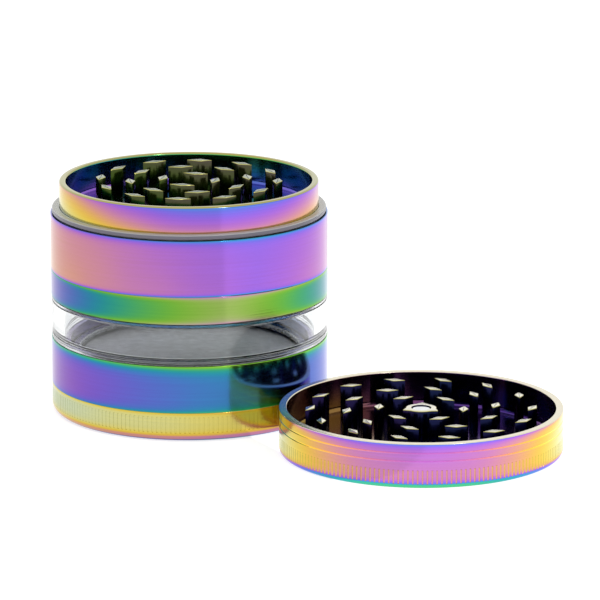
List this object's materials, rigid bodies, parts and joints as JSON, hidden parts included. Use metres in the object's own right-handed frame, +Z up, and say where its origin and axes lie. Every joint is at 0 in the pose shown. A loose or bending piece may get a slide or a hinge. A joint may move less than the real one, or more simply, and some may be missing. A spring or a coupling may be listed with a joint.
{
  "type": "herb grinder",
  "caption": "Round hand grinder: stacked screwed chambers with a clear window and a mesh screen, a toothed top chamber, and a toothed magnetic lid lying teeth up beside it.",
  "frame": {"origin": "centre of the stack's flat bottom face, on the surface that the stack and the lid stand on", "axes": "+Z up along the stack's axis; +X from the stack's axis to the axis of the lid that lies beside it"},
  "size_m": [0.127, 0.063, 0.0532],
  "materials": {
    "gold": "gold to orange interference colour on turned metal",
    "blue": "blue to violet interference colour on turned metal",
    "green": "green to blue interference colour on turned metal",
    "violet": "violet to pink interference colour on turned metal, dark green and blue inside",
    "rose_gold": "pink to gold interference colour on turned metal, dark inside",
    "steel": "bright steel",
    "mesh_grey": "woven stainless mesh",
    "magnet_nickel": "nickel plate",
    "clear_window": "clear, polished",
    "clear_seal": "clear soft seal",
    "nylon": "translucent nylon"
  },
  "bodies": {
    "base": {"base_cup": "gold"},
    "screen_carrier": {"screen_mesh": "mesh_grey", "screen_retaining_ring": "steel"},
    "storage": {"storage_body": "blue", "window_lower_seal": "clear_seal", "window_ring": "clear_window", "window_upper_seal": "clear_seal", "upper_collar": "green"},
    "ring_carrier": {"friction_ring": "nylon"},
    "chamber": {"grinding_chamber": "violet", "chamber_magnet": "magnet_nickel"},
    "lid_carrier": {"lid_magnet": "magnet_nickel"},
    "lid": {"lid": "rose_gold"}
  },
  "joints": [
    {"name": "storage_lift", "type": "slide", "parent": "base", "child": "screen_carrier", "axis": [0, 0, 1], "range_m": [0, 0.003]},
    {"name": "storage_unscrew", "type": "hinge", "parent": "screen_carrier", "child": "storage", "pos_m": [0, 0, 0.0067], "axis": [0, 0, 1], "range_deg": [0, 540]},
    {"name": "chamber_lift", "type": "slide", "parent": "storage", "child": "ring_carrier", "axis": [0, 0, 1], "range_m": [0, 0.003]},
    {"name": "chamber_unscrew", "type": "hinge", "parent": "ring_carrier", "child": "chamber", "pos_m": [0, 0, 0.0333], "axis": [0, 0, 1], "range_deg": [0, 540]},
    {"name": "lid_over", "type": "hinge", "parent": "base", "child": "lid_carrier", "pos_m": [0.032, 0, 0.0351], "axis": [0, -1, 0], "range_deg": [0, 180]},
    {"name": "lid_turn", "type": "hinge", "parent": "lid_carrier", "child": "lid", "pos_m": [0.064, 0, 0], "axis": [0, 0, 1], "continuous": true}
  ],
  "couplings": [
    {"joint": "storage_lift", "follows": "storage_unscrew", "m_per_rad": 0.0003183},
    {"joint": "chamber_lift", "follows": "chamber_unscrew", "m_per_rad": 0.0003183}
  ]
}
